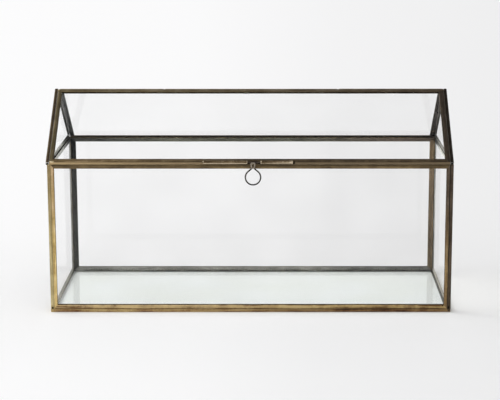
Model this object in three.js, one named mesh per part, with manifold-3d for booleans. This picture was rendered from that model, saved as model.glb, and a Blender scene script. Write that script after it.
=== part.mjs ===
// A glass terrarium shaped like a long, low greenhouse. Nine panes of glass are each edged with four
// (on the gables three) lengths of folded brass channel, and the framed panes are soldered edge to edge.
// The front slope of the roof is a lid that turns on a wire pin in three tubes along the ridge, and a
// wire loop on a rod in the lid's lower edge lifts it.
import * as THREE from 'three';
import { mergeVertices } from 'three/addons/utils/BufferGeometryUtils.js';
import Module from 'manifold-3d';

const wasm = await Module();
wasm.setup();

// Overall sizes, in millimetres: +X to the right, +Y to the back, +Z up
const caseLength = 450;
const caseDepth = 181;
const wallHeight = 168.8;
const roofPitch = THREE.MathUtils.degToRad(36.7);

// Gaps: a solder seam between framed panes, a mitre between lengths, and putty round the glass
const seam = 0.3;
const mitreGap = 0.3;
const puttyGap = 0.3;

// Glass and its brass channel; a face is how far the channel laps over the glass
const glassThickness = 2;
const channelThickness = 3.6;
const channelWeb = 0.6;
const channelFace = 5.2;
const frontSideFace = 3.6;
const frontBottomFace = 5.2;
const frontTopFace = 3.4;
const backTopFace = 4.1;
const backSideFace = 6;
const gableSlopeFace = 3.7;
const backEaveFace = 3.3;
const backRidgeFace = 2.6;
const backOverhang = 1;

// Lid: its own faces, and how it clears the case
const lidEaveFace = 6;
const lidEaveWeb = 3.4;
const lidSideFace = 4.2;
const lidRidgeFace = 2.6;
const lidOverhang = 1;
const lidSideGap = 0.6;
const eaveGap = 0.6;
const ridgeGap = 0.6;

// Round stock: the clearance round a tube, and the facets of every round piece
const tubeGap = 0.3;
const roundSides = 24;

// Hinge: three tubes between the gables, and the wire pin in them
const hingeTubeOuter = 3.2;
const hingeTubeBore = 1.8;
const hingePinThickness = 1.5;
const hingeLidTube = 200;
const hingeTubeEndGap = 0.4;
const hingeEndGap = 1.6;
const hingePinInset = 0.5;

// Pull: a recess in the lid's lower edge with two tubes, a rod and a hanging loop
const pullTubeOuter = 4;
const pullTubeBore = 2.2;
const pullRodThickness = 1.8;
const recessLeft = 52.5;
const pullTubeLength = 49;
const loopRoom = 14.9;
const pullSleeveLength = 35.4;
const pullSleeveEndGap = 2.2;
const pullAxisInset = 0.7;
const pullAxisDepth = 0.2;
const pullRodInset = 3;
const loopWire = 1.5;
const loopInset = 5.9;
const loopRingRadius = 8.4;
const loopRingDrop = 16.2;
const loopNeckWidth = 2.9;
const loopNeckDrop = 5.9;
const loopBarWidth = 6.2;
const loopBarDrop = 0.6;
const loopNeckBend = 1.6;
const loopBarBend = 1.5;
const loopSteps = 96;
const loopSides = 8;

// Finishes
const brass = new THREE.MeshStandardMaterial({ color: 0x8a7448, roughness: 0.42, metalness: 0.9 });
const wire = new THREE.MeshStandardMaterial({ color: 0x6e6a5c, roughness: 0.38, metalness: 0.9 });
const glass = new THREE.MeshStandardMaterial({
  color: 0xe6eeea,
  roughness: 0.05,
  metalness: 0,
  transparent: true,
  opacity: 0.3,
});

// Solids: a closed geometry becomes a solid for joining and cutting, and comes back as a geometry
function toSolid(geometry) {
  const bare = geometry.clone();
  bare.deleteAttribute('normal');
  bare.deleteAttribute('uv');
  const merged = mergeVertices(bare);
  const vertProperties = new Float32Array(merged.attributes.position.array);
  const triVerts = new Uint32Array(merged.index.array);
  return new wasm.Manifold(new wasm.Mesh({ numProp: 3, vertProperties, triVerts }));
}

function toGeometry(solid) {
  const mesh = solid.getMesh();
  const geometry = new THREE.BufferGeometry();
  geometry.setAttribute('position', new THREE.BufferAttribute(mesh.vertProperties, 3));
  geometry.setIndex(new THREE.BufferAttribute(mesh.triVerts, 1));
  geometry.computeVertexNormals();
  return geometry;
}

// A flat plate of an outline, between two heights above the panel's inner face
function plate(outline, from, to) {
  const shape = new THREE.Shape(outline);
  const geometry = new THREE.ExtrudeGeometry(shape, { depth: to - from, bevelEnabled: false });
  return geometry.translate(0, 0, from);
}

function named(name, geometry, material) {
  const mesh = new THREE.Mesh(geometry, material);
  mesh.name = name;
  return mesh;
}

// Straight lines in a panel's plane: a point and a direction
function lineThrough(a, b) {
  return { point: a.clone(), along: b.clone().sub(a).normalize() };
}

function movedLeft(line, distance) {
  const left = new THREE.Vector2(-line.along.y, line.along.x);
  return { point: line.point.clone().addScaledVector(left, distance), along: line.along.clone() };
}

function meet(one, two) {
  const between = two.point.clone().sub(one.point);
  const reach = between.cross(two.along) / one.along.cross(two.along);
  return one.point.clone().addScaledVector(one.along, reach);
}

// The outline's edges, each moved inwards by its own distance, meet in the corners of a smaller outline
function inset(outline, distances) {
  const lines = outline.map((corner, i) => {
    const next = outline[(i + 1) % outline.length];
    return movedLeft(lineThrough(corner, next), distances[i]);
  });
  return lines.map((line, i) => meet(lines[(i + lines.length - 1) % lines.length], line));
}

function rectangle(width, height) {
  const side = width / 2;
  return [
    new THREE.Vector2(-side, 0),
    new THREE.Vector2(side, 0),
    new THREE.Vector2(side, height),
    new THREE.Vector2(-side, height),
  ];
}

// Plans of the channel lengths round an outline, mitred where two lengths meet
function mitredPlans(outline, faces) {
  const inner = inset(outline, faces);
  return outline.map((corner, i) => {
    const j = (i + 1) % outline.length;
    const outerLine = lineThrough(corner, outline[j]);
    const innerLine = lineThrough(inner[i], inner[j]);
    const start = movedLeft(lineThrough(corner, inner[i]), -mitreGap / 2);
    const end = movedLeft(lineThrough(outline[j], inner[j]), mitreGap / 2);
    return [meet(start, outerLine), meet(end, outerLine), meet(end, innerLine), meet(start, innerLine)];
  });
}

// A pane in its channel: every length has a groove as deep as its web allows, and the glass stands in it
const grooveFloor = (channelThickness - glassThickness) / 2 - puttyGap;

function framedPane(name, outline, plans, webs) {
  const panel = new THREE.Group();
  const grooveOutline = inset(outline, webs);
  const glassOutline = inset(outline, webs.map((web) => web + puttyGap));
  const groove = toSolid(plate(grooveOutline, grooveFloor, channelThickness - grooveFloor));
  const glassFrom = grooveFloor + puttyGap;
  panel.add(named(`${name}_glass`, plate(glassOutline, glassFrom, glassFrom + glassThickness), glass));
  for (const [side, plan] of Object.entries(plans)) {
    const length = toSolid(plate(plan, 0, channelThickness)).subtract(groove);
    panel.add(named(`${name}_came_${side}`, toGeometry(length), brass));
  }
  return panel;
}

function rectangularPane(name, outline, sides, faces, webs) {
  const plans = mitredPlans(outline, faces);
  return framedPane(name, outline, Object.fromEntries(sides.map((side, i) => [side, plans[i]])), webs);
}

// Case: the floor lies flat, the end walls stand on it, and the front and back stand between them
const evenWebs = [channelWeb, channelWeb, channelWeb, channelWeb];
const evenFaces = [channelFace, channelFace, channelFace, channelFace];
const frontFaces = [frontBottomFace, frontSideFace, frontTopFace, frontSideFace];
const backFaces = [channelFace, backSideFace, backTopFace, backSideFace];
const wallBase = channelThickness + seam;
const longWallWidth = caseLength - 2 * (channelThickness + seam);

function upright(panel, turn, distance, base) {
  panel.rotation.x = Math.PI / 2;
  panel.position.set(0, channelThickness - distance, base);
  const placed = new THREE.Group();
  placed.rotation.z = turn;
  placed.add(panel);
  return placed;
}

function makeFloor() {
  const sides = ['front', 'right', 'back', 'left'];
  const floor = rectangularPane('floor', rectangle(caseLength, caseDepth), sides, evenFaces, evenWebs);
  floor.position.y = -caseDepth / 2;
  return floor;
}

function makeWall(name, width, sides, faces, turn, distance) {
  const outline = rectangle(width, wallHeight - wallBase);
  return upright(rectangularPane(name, outline, sides, faces, evenWebs), turn, distance, wallBase);
}

function makeWalls() {
  const quarter = Math.PI / 2;
  const longSide = caseDepth / 2;
  const endSide = caseLength / 2;
  return [
    makeWall('front', longWallWidth, ['bottom', 'right', 'top', 'left'], frontFaces, 0, longSide),
    makeWall('right', caseDepth, ['bottom', 'back', 'top', 'front'], evenFaces, quarter, endSide),
    makeWall('back', longWallWidth, ['bottom', 'left', 'top', 'right'], backFaces, Math.PI, longSide),
    makeWall('left', caseDepth, ['bottom', 'front', 'top', 'back'], evenFaces, -quarter, endSide),
  ];
}

// Roof: both slopes start above the walls' outer top corners and end in square edges that stand
// either side of the ridge, and the hinge tubes nest in the groove between those edges
const slope = { along: Math.cos(roofPitch), rise: Math.sin(roofPitch) };
const eaveHeight = wallHeight + eaveGap;
const edgeToAxis = hingeTubeOuter / 2 + tubeGap;
const ridgeInnerHeight = eaveHeight + (caseDepth / 2 - ridgeGap / 2) * Math.tan(roofPitch);
const hingeHeight = ridgeInnerHeight + (edgeToAxis - (ridgeGap / 2) * slope.along) / slope.rise;

// A place in the case's cross-section as seen along the slope from the hinge axis
function onSlope(y, z) {
  const below = z - hingeHeight;
  return new THREE.Vector2(y * slope.along + below * slope.rise, below * slope.along - y * slope.rise);
}

const wallCorner = onSlope(-caseDepth / 2, eaveHeight);
const innerFace = wallCorner.y;
const outerFace = innerFace + channelThickness;
const backRoofWidth = caseLength - 2 * (channelThickness + seam);
const lidWidth = caseLength - 2 * (channelThickness + lidSideGap);

function makeSlope(name, width, overhang, sides, faces, webs) {
  const eave = wallCorner.x - overhang;
  const outline = rectangle(width, -edgeToAxis - eave);
  const panel = rectangularPane(name, outline, sides, faces, webs);
  panel.position.set(0, eave, innerFace);
  const tilted = new THREE.Group();
  tilted.rotation.x = roofPitch;
  tilted.position.z = hingeHeight;
  tilted.add(panel);
  return tilted;
}

function makeBackRoof() {
  const sides = ['eave', 'left', 'ridge', 'right'];
  const faces = [backEaveFace, backSideFace, backRidgeFace, backSideFace];
  const roof = new THREE.Group();
  roof.rotation.z = Math.PI;
  roof.add(makeSlope('back_roof', backRoofWidth, backOverhang, sides, faces, evenWebs));
  return roof;
}

// Gables: the slopes' outer faces run on over them, and their lower tips are cut square to the slope
function makeGableOutline() {
  const base = wallHeight + seam;
  const foot = new THREE.Vector2(caseDepth / 2, 0);
  const squareOff = new THREE.Vector2(slope.rise, slope.along);
  const apexRise = hingeHeight + outerFace / slope.along - base;
  const rightSlope = lineThrough(
    new THREE.Vector2(0, apexRise),
    new THREE.Vector2(slope.along * caseDepth, apexRise - slope.rise * caseDepth),
  );
  const tip = meet({ point: foot, along: squareOff }, rightSlope);
  return [
    new THREE.Vector2(-foot.x, 0),
    foot,
    tip,
    new THREE.Vector2(0, apexRise),
    new THREE.Vector2(-tip.x, tip.y),
  ];
}

function makeGable(name, sides, turn) {
  const outline = makeGableOutline();
  const [leftFoot, rightFoot, rightTip, apex, leftTip] = outline;
  const base = lineThrough(leftFoot, rightFoot);
  const baseTop = movedLeft(base, channelFace);
  const rightOuter = lineThrough(rightTip, apex);
  const leftOuter = lineThrough(apex, leftTip);
  const rightInner = movedLeft(rightOuter, gableSlopeFace);
  const leftInner = movedLeft(leftOuter, gableSlopeFace);
  const rightCut = movedLeft(rightInner, mitreGap);
  const leftCut = movedLeft(leftInner, mitreGap);
  const rightEnd = lineThrough(rightFoot, rightTip);
  const leftEnd = lineThrough(leftTip, leftFoot);
  const ridgeLine = { point: apex.clone(), along: new THREE.Vector2(0, 1) };
  const rightRidge = movedLeft(ridgeLine, -mitreGap / 2);
  const leftRidge = movedLeft(ridgeLine, mitreGap / 2);
  const plans = {
    bottom: [meet(base, leftCut), meet(base, rightCut), meet(baseTop, rightCut), meet(baseTop, leftCut)],
    [sides.right]: [
      meet(rightEnd, rightInner),
      meet(rightEnd, rightOuter),
      meet(rightRidge, rightOuter),
      meet(rightRidge, rightInner),
    ],
    [sides.left]: [
      meet(leftRidge, leftInner),
      meet(leftRidge, leftOuter),
      meet(leftEnd, leftOuter),
      meet(leftEnd, leftInner),
    ],
  };
  const webs = outline.map(() => channelWeb);
  return upright(framedPane(name, outline, plans, webs), turn, caseLength / 2, wallHeight + seam);
}

// Tubes and wire run along X and are placed by their two ends
function alongX(geometry, from) {
  return geometry.rotateY(Math.PI / 2).translate(from, 0, 0);
}

function makeTube(name, from, to, outer, bore) {
  const ring = new THREE.Shape().absarc(0, 0, outer / 2, 0, 2 * Math.PI, false);
  ring.holes.push(new THREE.Path().absarc(0, 0, bore / 2, 0, 2 * Math.PI, true));
  const settings = { depth: to - from, bevelEnabled: false, curveSegments: roundSides / 2 };
  return named(name, alongX(new THREE.ExtrudeGeometry(ring, settings), from), brass);
}

function makeRod(name, from, to, thickness) {
  const disc = new THREE.Shape().absarc(0, 0, thickness / 2, 0, 2 * Math.PI, false);
  const settings = { depth: to - from, bevelEnabled: false, curveSegments: roundSides / 2 };
  return named(name, alongX(new THREE.ExtrudeGeometry(disc, settings), from), wire);
}

// Hinge: the outer tubes are soldered to the back slope, the middle one to the lid
const hingeEnd = caseLength / 2 - channelThickness - hingeEndGap;

function makeHingeTube(name, from, to) {
  return makeTube(name, from, to, hingeTubeOuter, hingeTubeBore);
}

function makeHinge() {
  const hinge = new THREE.Group();
  const inner = hingeLidTube / 2 + hingeTubeEndGap;
  const pinEnd = hingeEnd - hingePinInset;
  hinge.position.z = hingeHeight;
  hinge.add(makeHingeTube('hinge_tube_left', -hingeEnd, -inner));
  hinge.add(makeHingeTube('hinge_tube_right', inner, hingeEnd));
  hinge.add(makeRod('hinge_pin', -pinEnd, pinEnd, hingePinThickness));
  return hinge;
}

// Pull: its axis lies just inside the lid's lower outer corner. From the recess's left end come the
// tube, the room for the loop, the sleeve and a short gap
const lidEave = wallCorner.x - lidOverhang;
const pullAxis = new THREE.Vector2(lidEave + pullAxisInset, outerFace - pullAxisDepth);
const tubeLeft = -recessLeft + tubeGap;
const tubeRight = tubeLeft + pullTubeLength;
const sleeveLeft = tubeRight + loopRoom;
const sleeveRight = sleeveLeft + pullSleeveLength;
const recessRight = sleeveRight + pullSleeveEndGap;

function cutRecess(eaveLength) {
  const size = recessLeft + recessRight;
  const radius = pullTubeOuter / 2 + tubeGap;
  const cutter = new THREE.CylinderGeometry(radius, radius, size, roundSides);
  cutter.rotateZ(Math.PI / 2);
  cutter.translate((recessRight - recessLeft) / 2, pullAxisInset, channelThickness - pullAxisDepth);
  eaveLength.geometry = toGeometry(toSolid(eaveLength.geometry).subtract(toSolid(cutter)));
}

function makeLid() {
  const sides = ['eave', 'right', 'ridge', 'left'];
  const faces = [lidEaveFace, lidSideFace, lidRidgeFace, lidSideFace];
  const webs = [lidEaveWeb, channelWeb, channelWeb, channelWeb];
  const lid = makeSlope('lid', lidWidth, lidOverhang, sides, faces, webs);
  cutRecess(lid.getObjectByName('lid_came_eave'));
  lid.add(makeHingeTube('hinge_tube_lid', -hingeLidTube / 2, hingeLidTube / 2));
  const tubes = new THREE.Group();
  tubes.position.set(0, pullAxis.x, pullAxis.y);
  tubes.add(makeTube('pull_tube', tubeLeft, tubeRight, pullTubeOuter, pullTubeBore));
  tubes.add(makeTube('pull_sleeve', sleeveLeft, sleeveRight, pullTubeOuter, pullTubeBore));
  lid.add(tubes);
  return lid;
}

// The loop's centre line: a round ring, two straight shoulders, a narrow neck and a short top bar
function loopPath() {
  const shoulder = Math.PI / 4;
  const neck = new THREE.Vector2(loopNeckWidth / 2, -loopNeckDrop);
  const corner = new THREE.Vector2(loopBarWidth / 2, -loopBarDrop);
  const leave = new THREE.Vector2(Math.cos(shoulder), Math.sin(shoulder)).multiplyScalar(loopRingRadius);
  leave.y -= loopRingDrop;
  const toward = (from, to, reach) => to.clone().sub(from).setLength(reach).add(from);
  const rightSide = [
    toward(neck, leave, loopNeckBend),
    neck,
    toward(neck, corner, loopNeckBend),
    toward(corner, neck, loopBarBend),
    corner,
    toward(corner, new THREE.Vector2(0, corner.y), loopBarBend),
  ];
  const [a, b, c, d, e, f] = rightSide;
  const [A, B, C, D, E, F] = rightSide.map((p) => new THREE.Vector2(-p.x, p.y));
  const path = new THREE.Path();
  path.absarc(0, -loopRingDrop, loopRingRadius, Math.PI - shoulder, shoulder, false);
  path.lineTo(a.x, a.y).quadraticCurveTo(b.x, b.y, c.x, c.y);
  path.lineTo(d.x, d.y).quadraticCurveTo(e.x, e.y, f.x, f.y);
  path.lineTo(F.x, F.y).quadraticCurveTo(E.x, E.y, D.x, D.y);
  path.lineTo(C.x, C.y).quadraticCurveTo(B.x, B.y, A.x, A.y);
  path.closePath();
  return path;
}

// A round wire swept round a closed path in the XZ plane
function closedWire(path, radius, steps, sides) {
  const centres = path.getSpacedPoints(steps).slice(0, steps);
  const positions = [];
  const index = [];
  centres.forEach((centre, i) => {
    const before = centres[(i + steps - 1) % steps];
    const after = centres[(i + 1) % steps];
    const along = after.clone().sub(before).normalize();
    for (let k = 0; k < sides; k += 1) {
      const angle = (2 * Math.PI * k) / sides;
      const across = radius * Math.cos(angle);
      positions.push(centre.x + along.y * across, radius * Math.sin(angle), centre.y - along.x * across);
      const here = i * sides + k;
      const beside = i * sides + ((k + 1) % sides);
      const ahead = ((i + 1) % steps) * sides + k;
      const diagonal = ((i + 1) % steps) * sides + ((k + 1) % sides);
      index.push(here, beside, ahead, beside, diagonal, ahead);
    }
  });
  const geometry = new THREE.BufferGeometry();
  geometry.setAttribute('position', new THREE.Float32BufferAttribute(positions, 3));
  geometry.setIndex(index);
  geometry.computeVertexNormals();
  return geometry;
}

// The rod turns in the tubes, and the loop's top bar is soldered along its front
function pullPlace() {
  return {
    y: pullAxis.x * slope.along - pullAxis.y * slope.rise,
    z: hingeHeight + pullAxis.x * slope.rise + pullAxis.y * slope.along,
  };
}

const loopForward = pullRodThickness / 2 + tubeGap + loopWire / 2;

function makePull() {
  const pull = new THREE.Group();
  const place = pullPlace();
  const rodLeft = tubeLeft + pullRodInset;
  const rodRight = sleeveRight - pullRodInset;
  pull.position.set(0, place.y, place.z);
  pull.add(makeRod('pull_rod', rodLeft, rodRight, pullRodThickness));
  const loop = named('pull_loop', closedWire(loopPath(), loopWire / 2, loopSteps, loopSides), wire);
  loop.position.set(tubeRight + loopInset, -loopForward, 0);
  pull.add(loop);
  return pull;
}

// The origin is under the middle of the whole object, between the loop's front and the back eave
function middleShift() {
  const frontReach = -pullPlace().y + loopForward + loopWire / 2;
  const backReach = (backOverhang - wallCorner.x) * slope.along + outerFace * slope.rise;
  return (frontReach - backReach) / 2;
}

const terrarium = new THREE.Group();
terrarium.position.y = middleShift();
terrarium.add(makeFloor(), ...makeWalls());
terrarium.add(makeGable('left_gable', { right: 'front', left: 'back' }, -Math.PI / 2));
terrarium.add(makeGable('right_gable', { right: 'back', left: 'front' }, Math.PI / 2));
terrarium.add(makeBackRoof(), makeLid(), makeHinge(), makePull());
terrarium.updateMatrixWorld(true);

export default terrarium;
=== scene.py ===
import itertools
import math

import bpy
from mathutils import Matrix, Vector


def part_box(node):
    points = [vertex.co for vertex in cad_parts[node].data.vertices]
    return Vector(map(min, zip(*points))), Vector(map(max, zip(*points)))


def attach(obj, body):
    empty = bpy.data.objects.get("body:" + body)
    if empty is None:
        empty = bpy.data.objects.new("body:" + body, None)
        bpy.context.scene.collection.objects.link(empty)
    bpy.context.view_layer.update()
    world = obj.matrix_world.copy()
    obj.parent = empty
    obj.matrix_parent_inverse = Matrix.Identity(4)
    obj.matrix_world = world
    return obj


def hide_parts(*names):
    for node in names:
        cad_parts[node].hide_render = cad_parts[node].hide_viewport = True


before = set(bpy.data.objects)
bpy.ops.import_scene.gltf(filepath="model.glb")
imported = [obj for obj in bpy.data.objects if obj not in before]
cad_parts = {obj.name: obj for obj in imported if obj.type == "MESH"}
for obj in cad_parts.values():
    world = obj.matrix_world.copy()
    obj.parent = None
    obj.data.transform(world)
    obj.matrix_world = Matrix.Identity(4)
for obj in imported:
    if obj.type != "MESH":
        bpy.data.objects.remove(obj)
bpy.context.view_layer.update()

scene = bpy.context.scene
scene.view_settings.view_transform = "Standard"


# The table and the daylight studio. A pale table runs on out of sight behind the terrarium, soft light comes
# from a wide window at the left, and the ceiling is dimmer than the walls.
def feed(tree, sockets, values):
    for key, value in values.items():
        if isinstance(value, bpy.types.NodeSocket):
            tree.links.new(value, sockets[key])
        else:
            sockets[key].default_value = value


def add(tree, kind, inputs=None, output=0, **settings):
    """A new node with its settings and inputs. What comes back is one of its outputs."""
    made = tree.nodes.new(kind)
    for key, value in settings.items():
        setattr(made, key, value)
    feed(tree, made.inputs, inputs or {})
    return made.outputs[output]


def math_node(tree, operation, a, b=0.0, c=0.0):
    return add(tree, "ShaderNodeMath", {0: a, 1: b, 2: c}, operation=operation)


def plus(tree, a, b):
    return math_node(tree, "ADD", a, b)


def times(tree, a, b):
    return math_node(tree, "MULTIPLY", a, b)


def part_of(tree, vector, axis):
    return add(tree, "ShaderNodeSeparateXYZ", {0: vector}, output=axis)


def mapped(tree, value, low, high, at_low=0.0, at_high=1.0, **settings):
    return add(tree, "ShaderNodeMapRange", {0: value, 1: low, 2: high, 3: at_low, 4: at_high}, **settings)


def blend(tree, share, a, b):
    return add(tree, "ShaderNodeMix", {0: share, 6: a, 7: b}, output=2, data_type="RGBA")


def noise_at(tree, vector, scale, detail, roughness=0.5):
    inputs = {"Vector": vector, "Scale": scale, "Detail": detail, "Roughness": roughness}
    return add(tree, "ShaderNodeTexNoise", inputs)


def colour(code):
    shares = [int(code[i:i + 2], 16) / 255 for i in (0, 2, 4)]
    return (*[c / 12.92 if c <= 0.04045 else ((c + 0.055) / 1.055) ** 2.4 for c in shares], 1.0)


def ramp(tree, share, stops):
    made = tree.nodes.new("ShaderNodeValToRGB")
    tree.links.new(share, made.inputs[0])
    elements = made.color_ramp.elements
    elements.remove(elements[1])
    for i, (place, code) in enumerate(stops):
        stop = elements.new(place) if i else elements[0]
        stop.position = place
        stop.color = colour(code)
    return made.outputs[0]


def new_material(name):
    made = bpy.data.materials.new(name)
    made.use_nodes = True
    return made, made.node_tree


def in_scene(name, data):
    made = bpy.data.objects.new(name, data)
    scene.collection.objects.link(made)
    return made


def table_finish():
    eye_distance, nearest, edge_of_view = 1.85, 1.4, 0.155
    finish, tree = new_material("white_table")
    spot = add(tree, "ShaderNodeNewGeometry", output="Position")
    ahead = math_node(tree, "MAXIMUM", plus(tree, part_of(tree, spot, 1), eye_distance), nearest)
    sideways = math_node(tree, "DIVIDE", part_of(tree, spot, 0), ahead)
    # Painted shade: the table's colour is lighter at the left and darker towards the right, the fading of the
    # window's light.
    shade = ramp(tree, mapped(tree, sideways, -edge_of_view, edge_of_view),
                 [(0.0, "fefefe"), (0.36, "fcfcfc"), (0.64, "f5f5f5"), (1.0, "f0f0f0")])
    speckle = times(tree, noise_at(tree, spot, 9.0, 3.0), 0.01)
    tint = blend(tree, speckle, shade, colour("d8d8d8"))
    feed(tree, tree.nodes["Principled BSDF"].inputs,
         {"Base Color": tint, "Roughness": 0.9, "Specular IOR Level": 0.0})
    return finish


table_side, table_near, table_far = 9, -5, 16
table_mesh = bpy.data.meshes.new("table")
table_mesh.from_pydata([(-table_side, table_near, 0), (table_side, table_near, 0), (table_side, table_far, 0),
                        (-table_side, table_far, 0)], [], [(0, 1, 2, 3)])
table_mesh.materials.append(table_finish())
in_scene("table", table_mesh)

scene.world = bpy.data.worlds.new("studio")
scene.world.use_nodes = True
sky = scene.world.node_tree
direction = add(sky, "ShaderNodeTexCoord", output="Generated")
walls_and_ceiling = ramp(sky, part_of(sky, direction, 2),
                         [(0.0, "ffffff"), (0.55, "f8f8f8"), (0.82, "a4a4a6"), (1.0, "8c8c8e")])
left_to_right = mapped(sky, part_of(sky, direction, 0), -1.0, 1.0, 1.16, 0.84)
front_to_back = mapped(sky, part_of(sky, direction, 1), -1.0, 1.0, 1.1, 0.9)
strength = times(sky, times(sky, left_to_right, front_to_back), 1.06)
feed(sky, sky.nodes["Background"].inputs, {"Color": walls_and_ceiling, "Strength": strength})

window_light = bpy.data.lights.new("window", "SUN")
window_light.energy = 1.3
window_light.angle = math.radians(48)
to_window = Vector((-0.64, 0.04, 0.77))
window = in_scene("window", window_light)
window.rotation_euler = (-to_window).to_track_quat("-Z", "Y").to_euler()

picture_width, focal_length_in_pixels, look_down = 500, 1615.32, 0.20473
eye = bpy.data.cameras.new("eye")
eye.sensor_width = 36.0
eye.lens = eye.sensor_width * focal_length_in_pixels / picture_width
eye.shift_x = -0.05144
eye.clip_end = 60.0
camera = in_scene("eye", eye)
camera.location = (0.0282, -1.84662, 0.49392)
camera.rotation_euler = (math.pi / 2 - look_down, 0, 0)
scene.camera = camera


# Brass channel: strip folded round the edge of every pane. Each length is a trough with a web on the outside
# and a lap on either side of the glass. Its ends are cut on the mitre, and its laps are a little wavy from
# folding by hand.
def minus(tree, a, b):
    return math_node(tree, "SUBTRACT", a, b)


def between(tree, share, a, b):
    return add(tree, "ShaderNodeMix", {0: share, 2: a, 3: b})


def new_tree(name, numbers, counts=(), vectors=()):
    """A tree that takes a geometry, a finish and the named inputs, and the sockets of these inputs."""
    tree = bpy.data.node_groups.new(name, "GeometryNodeTree")
    for way in ("INPUT", "OUTPUT"):
        tree.interface.new_socket("Geometry", in_out=way, socket_type="NodeSocketGeometry")
    for kind, names in (("Float", numbers), ("Int", counts), ("Vector", vectors), ("Material", ["Finish"])):
        for item in names:
            tree.interface.new_socket(item, in_out="INPUT", socket_type=f"NodeSocket{kind}")
    return tree, tree.nodes.new("NodeGroupInput").outputs


def end_tree(tree, geometry, finish):
    real = add(tree, "GeometryNodeRealizeInstances", {0: geometry})
    done = add(tree, "GeometryNodeSetMaterial", {"Geometry": real, "Material": finish})
    tree.links.new(done, tree.nodes.new("NodeGroupOutput").inputs[0])
    return tree


def by_index(tree, kind, values):
    switch = tree.nodes.new("GeometryNodeIndexSwitch")
    switch.data_type = kind
    for _ in values[2:]:
        switch.index_switch_items.new()
    feed(tree, switch.inputs, {0: add(tree, "GeometryNodeInputIndex")})
    feed(tree, switch.inputs, {i + 1: value for i, value in enumerate(values)})
    return switch.outputs[0]


def placed(tree, geometry, position):
    return add(tree, "GeometryNodeSetPosition", {"Geometry": geometry, "Position": position})


def closed_section(tree, corners):
    """A closed curve through the corners, turned so that a sweep along x lays their x and y along y and z."""
    turned = [add(tree, "ShaderNodeVectorMath", {0: corner, "Scale": -1.0}, operation="SCALE")
              for corner in corners]
    points = add(tree, "GeometryNodeMeshLine", {"Count": len(corners)})
    curve = add(tree, "GeometryNodeMeshToCurve", {0: placed(tree, points, by_index(tree, "VECTOR", turned))})
    return add(tree, "GeometryNodeSetSplineCyclic", {"Geometry": curve, "Cyclic": True})


def swept(tree, section, start, end, stations):
    line = add(tree, "GeometryNodeCurvePrimitiveLine", {"Start": start, "End": end})
    line = add(tree, "GeometryNodeResampleCurve", {"Curve": line, "Count": stations})
    return add(tree, "GeometryNodeCurveToMesh", {"Curve": line, "Profile Curve": section, "Fill Caps": True})


def marked(tree, geometry, name, value, kind="FLOAT_VECTOR"):
    return add(tree, "GeometryNodeStoreNamedAttribute", {"Geometry": geometry, "Name": name, "Value": value},
               data_type=kind, domain="POINT")


def point(tree, x, y, z):
    return add(tree, "ShaderNodeCombineXYZ", {0: x, 1: y, 2: z})


seeds, seed_step = itertools.count(1), 0.37


def channel_tree():
    """The length runs along x, its face along y and its thickness along z. Waves grow to the free edge."""
    tree, given = new_tree("folded_channel",
                           ["Start Outer", "Start Inner", "End Outer", "End Inner", "Face", "Web",
                            "Thickness", "Lap", "Fold", "Wave"],
                           ["Stations", "Seed"])
    tip_share, lift_share = 0.45, 0.4
    face, web, top, lap = (given[key] for key in ("Face", "Web", "Thickness", "Lap"))
    upper = minus(tree, top, lap)
    outline = [(0.0, 0.0), (face, 0.0), (face, lap), (web, lap),
               (web, upper), (face, upper), (face, top), (0.0, top)]
    tip = times(tree, lap, tip_share)
    radii = by_index(tree, "FLOAT", [given["Fold"], *[tip] * 6, given["Fold"]])
    section = closed_section(tree, [point(tree, inwards, up, 0.0) for inwards, up in outline])
    section = add(tree, "GeometryNodeFilletCurve",
                  {"Curve": section, "Count": 3, "Radius": radii, "Limit Radius": True}, mode="POLY")
    strip = swept(tree, section, (0.0, 0.0, 0.0), (1.0, 0.0, 0.0), given["Stations"])
    spot = add(tree, "GeometryNodeInputPosition")
    way, inwards, up = (part_of(tree, spot, axis) for axis in range(3))
    share = math_node(tree, "DIVIDE", inwards, face)
    start = between(tree, share, given["Start Outer"], given["Start Inner"])
    end = between(tree, share, given["End Outer"], given["End Inner"])
    run = between(tree, way, start, end)
    far = math_node(tree, "MULTIPLY_ADD", given["Seed"], seed_step, run)
    waves = []
    for waves_in_a_metre, row in ((24.0, 3.1), (60.0, 8.7)):
        wave = noise_at(tree, point(tree, times(tree, far, waves_in_a_metre), row, 0.0), 1.0, 1.0)
        waves.append(times(tree, minus(tree, wave, 0.5), given["Wave"]))
    bowed = math_node(tree, "MULTIPLY_ADD", waves[0], share, inwards)
    lifted = math_node(tree, "MULTIPLY_ADD", times(tree, waves[1], lift_share), share, up)
    strip = marked(tree, strip, "along", point(tree, far, inwards, up))
    return end_tree(tree, placed(tree, strip, point(tree, run, bowed, lifted)), given["Finish"])


def made_plain(holder):
    """The object's evaluated shape as a mesh of its own. The object goes."""
    bpy.context.view_layer.update()
    mesh = bpy.data.meshes.new_from_object(holder.evaluated_get(bpy.context.evaluated_depsgraph_get()))
    bpy.data.objects.remove(holder)
    return mesh


crease = math.radians(38)


def grown(name, tree, inputs, source=None):
    """The tree's result as a plain mesh. Inputs are given by name and set by identifier."""
    holder = in_scene(name, source or bpy.data.meshes.new(name))
    modifier = holder.modifiers.new("grown", "NODES")
    modifier.node_group = tree
    for item in tree.interface.items_tree:
        if item.in_out == "INPUT" and item.name in inputs:
            modifier[item.identifier] = inputs[item.name]
    holder.update_tag()
    mesh = made_plain(holder)
    mesh.name = name
    mesh.shade_smooth()
    mesh.set_sharp_from_angle(angle=crease)
    mesh.materials.clear()
    mesh.materials.append(inputs["Finish"])
    return mesh


def piece(name, mesh, body, slot, *nodes):
    made = in_scene(name, mesh)
    if nodes:
        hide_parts(*nodes)
    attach(made, body)


def meet(one, two):
    (p, d), (q, e) = one, two
    cross = d.x * e.y - d.y * e.x
    return p + d * (((q - p).x * e.y - (q - p).y * e.x) / cross)


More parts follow.
